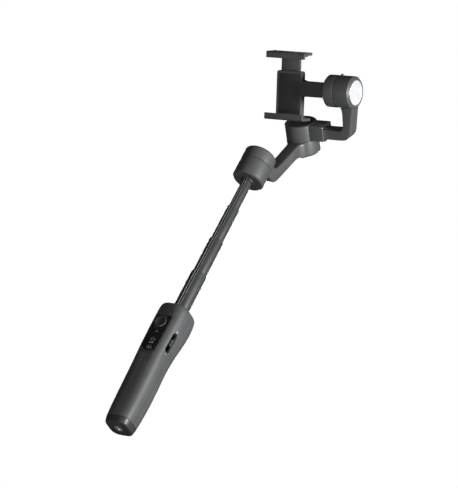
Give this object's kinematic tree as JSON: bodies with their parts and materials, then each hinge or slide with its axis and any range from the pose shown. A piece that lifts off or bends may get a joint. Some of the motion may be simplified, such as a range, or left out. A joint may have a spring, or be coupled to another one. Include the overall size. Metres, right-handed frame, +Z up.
{
  "type": "camera gimbal",
  "caption": "Hand-held three-axis gimbal with a control handle, a telescopic stick, pan, roll and tilt motors, a sliding cross arm and a sprung phone clamp.",
  "frame": {"origin": "mouth of the tripod socket, centre of the handle's base", "axes": "+Z up the stick, -Y towards the control panel's side, +X towards the tilt motor"},
  "size_m": [0.1171, 0.119, 0.5274],
  "materials": {
    "body_plastic": "fine satin texture, dark grey",
    "panel_plastic": "glossy black",
    "button_plastic": "satin black",
    "stick_metal": "black satin paint",
    "bush_plastic": "matte grey",
    "bright_trim": "fine brushed",
    "end_disc": "spun, silver white",
    "rubber_pad": "matte, ribbed",
    "steel": "ground steel",
    "copper_steel": "copper windings on a steel core",
    "magnet": "nickel plated",
    "board": "green solder mask",
    "cell_sleeve": "shrink sleeve, blue"
  },
  "bodies": {
    "handle": {"handle_front_shell": "body_plastic", "handle_rear_shell": "body_plastic", "base_cap": "body_plastic", "tripod_insert": "bright_trim", "control_panel": "panel_plastic", "joystick_socket": "button_plastic", "main_board": "board", "battery": "cell_sleeve", "stick_socket": "body_plastic", "trigger_pin": "steel", "usb_port": "steel", "shell_screws": "steel"},
    "joystick_ring": {"joystick_ring": "steel"},
    "joystick_cap": {"joystick_cap": "button_plastic"},
    "mode_button": {"mode_button": "button_plastic"},
    "shutter_button": {"shutter_button": "button_plastic"},
    "zoom_slider": {"zoom_slider": "button_plastic"},
    "trigger": {"trigger": "button_plastic"},
    "stick_1": {"stick_tube_1": "stick_metal", "tube_bush_1": "bush_plastic"},
    "stick_2": {"stick_tube_2": "stick_metal", "tube_bush_2": "bush_plastic"},
    "stick_3": {"stick_tube_3": "stick_metal", "tube_bush_3": "bush_plastic"},
    "stick_4": {"stick_tube_4": "stick_metal", "tube_bush_4": "bush_plastic", "stick_head": "body_plastic", "pan_housing": "body_plastic", "pan_stator": "copper_steel", "pan_bearings": "steel"},
    "pan": {"pan_bell": "steel", "pan_magnets": "magnet", "pan_shaft": "steel", "pan_cover": "body_plastic", "pan_arm": "body_plastic", "roll_stator": "copper_steel", "roll_bearings": "steel", "roll_cover": "body_plastic"},
    "roll": {"roll_bell": "steel", "roll_magnets": "magnet", "roll_shaft": "steel", "roll_head": "body_plastic", "roll_head_cover": "body_plastic", "sleeve_rim": "bright_trim", "arm_lock_screw": "button_plastic"},
    "cross_arm": {"cross_arm": "body_plastic", "tilt_stator": "copper_steel", "tilt_bearings": "steel", "tilt_end_disc": "end_disc"},
    "clamp": {"tilt_bell": "steel", "tilt_magnets": "magnet", "tilt_shaft": "steel", "tilt_cap": "body_plastic", "clamp_body": "body_plastic", "clamp_cover": "body_plastic", "lower_jaw_pad": "rubber_pad", "clamp_rods": "steel", "clamp_spring": "steel"},
    "upper_jaw": {"upper_jaw": "body_plastic", "upper_jaw_pad": "rubber_pad"}
  },
  "joints": [
    {"name": "stick_slide_1", "type": "slide", "parent": "handle", "child": "stick_1", "axis": [0, 0, 1], "range_m": [-0.05, 0]},
    {"name": "stick_slide_2", "type": "slide", "parent": "stick_1", "child": "stick_2", "axis": [0, 0, 1], "range_m": [-0.0475, 0]},
    {"name": "stick_slide_3", "type": "slide", "parent": "stick_2", "child": "stick_3", "axis": [0, 0, 1], "range_m": [-0.046, 0]},
    {"name": "stick_slide_4", "type": "slide", "parent": "stick_3", "child": "stick_4", "axis": [0, 0, 1], "range_m": [-0.038, 0]},
    {"name": "pan_turn", "type": "hinge", "parent": "stick_4", "child": "pan", "pos_m": [0, 0, 0.3518], "axis": [0, 0, 1], "range_deg": [-160, 160]},
    {"name": "roll_turn", "type": "hinge", "parent": "pan", "child": "roll", "pos_m": [0, 0, 0.491], "axis": [0, -0.866, 0.5], "range_deg": [-60, 230]},
    {"name": "arm_slide", "type": "slide", "parent": "roll", "child": "cross_arm", "axis": [0.9981, 0.0305, 0.0529], "range_m": [-0.008, 0.01]},
    {"name": "tilt_turn", "type": "hinge", "parent": "cross_arm", "child": "clamp", "pos_m": [0, 0, 0.491], "axis": [0.9981, 0.0305, 0.0529], "range_deg": [-95, 110]},
    {"name": "jaw_slide", "type": "slide", "parent": "clamp", "child": "upper_jaw", "axis": [-0.0193, -0.6642, 0.7473], "range_m": [-0.014, 0.013], "deforming": ["clamp_spring"]},
    {"name": "joystick_updown", "type": "hinge", "parent": "handle", "child": "joystick_ring", "pos_m": [0, -0.015, 0.133], "axis": [1, 0, 0], "range_deg": [-7.5, 7.5], "stiffness_Nm_per_rad": 0.05},
    {"name": "joystick_leftright", "type": "hinge", "parent": "joystick_ring", "child": "joystick_cap", "pos_m": [0, -0.015, 0.133], "axis": [0, 0, 1], "range_deg": [-7.5, 7.5], "stiffness_Nm_per_rad": 0.05},
    {"name": "mode_press", "type": "slide", "parent": "handle", "child": "mode_button", "axis": [0, 1, 0], "range_m": [0, 0.0004], "stiffness_N_per_m": 2000},
    {"name": "shutter_press", "type": "slide", "parent": "handle", "child": "shutter_button", "axis": [0, 1, 0], "range_m": [0, 0.0004], "stiffness_N_per_m": 2000},
    {"name": "zoom_slide", "type": "slide", "parent": "handle", "child": "zoom_slider", "axis": [0, 0, 1], "range_m": [-0.0025, 0.0025], "stiffness_N_per_m": 400},
    {"name": "trigger_pull", "type": "hinge", "parent": "handle", "child": "trigger", "pos_m": [0, 0.0142, 0.13], "axis": [-1, 0, 0], "range_deg": [0, 5], "stiffness_Nm_per_rad": 0.6}
  ]
}
